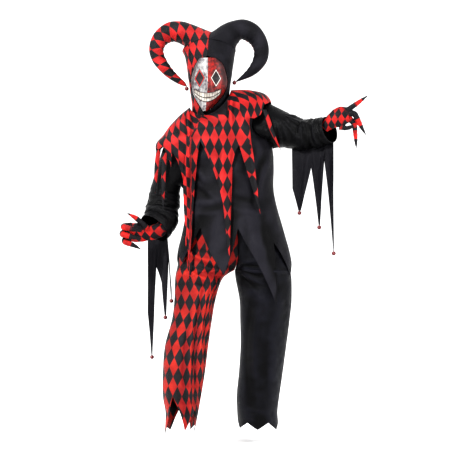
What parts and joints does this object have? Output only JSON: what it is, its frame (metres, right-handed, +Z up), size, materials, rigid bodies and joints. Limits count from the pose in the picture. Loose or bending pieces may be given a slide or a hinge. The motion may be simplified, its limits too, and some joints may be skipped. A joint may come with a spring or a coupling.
{
  "type": "jester costume, worn",
  "caption": "Two-tone jester costume with horned hood, mask, pointed collar, ragged tunic, tailed sleeves, trousers and gloves.",
  "frame": {"origin": "centre of the neck at the collar, where the worn costume hangs from the shoulders and neck", "axes": "+X to the raised sleeve (the viewer's right), +Y to the back of the costume, +Z up"},
  "size_m": [1.1043, 0.6367, 1.8825],
  "materials": {
    "black_cloth": "soft black knit with a faint sheen",
    "diamond_cloth": "red and black diamond print on soft polyester",
    "mask_shell": "painted thin shell, half white and half red",
    "bell_red": "red lacquered small bell"
  },
  "bodies": {
    "root": {"tunic_front": "black_cloth", "tunic_back": "black_cloth", "collar_front": "diamond_cloth", "collar_back": "diamond_cloth", "collar_point_1": "diamond_cloth", "collar_point_2": "diamond_cloth", "collar_point_3": "diamond_cloth", "sleeve_raised": "black_cloth", "sleeve_lowered": "black_cloth", "tails_raised": "black_cloth", "tails_lowered": "black_cloth", "leg_diamond_front": "diamond_cloth", "leg_diamond_back": "diamond_cloth", "leg_black_front": "black_cloth", "leg_black_back": "black_cloth", "waistband": "black_cloth", "hood_front_right": "black_cloth", "hood_front_left": "diamond_cloth", "hood_back_left": "black_cloth", "hood_back_right": "diamond_cloth", "horn_left_front": "diamond_cloth", "horn_left_back": "black_cloth", "horn_right_front": "black_cloth", "horn_right_back": "diamond_cloth", "glove_open": "diamond_cloth", "glove_closed": "diamond_cloth", "mask": "mask_shell", "bell_1": "bell_red", "bell_2": "bell_red", "bell_3": "bell_red", "bell_4": "bell_red", "bell_5": "bell_red", "bell_6": "bell_red", "bell_7": "bell_red", "bell_8": "bell_red"}
  },
  "joints": []
}
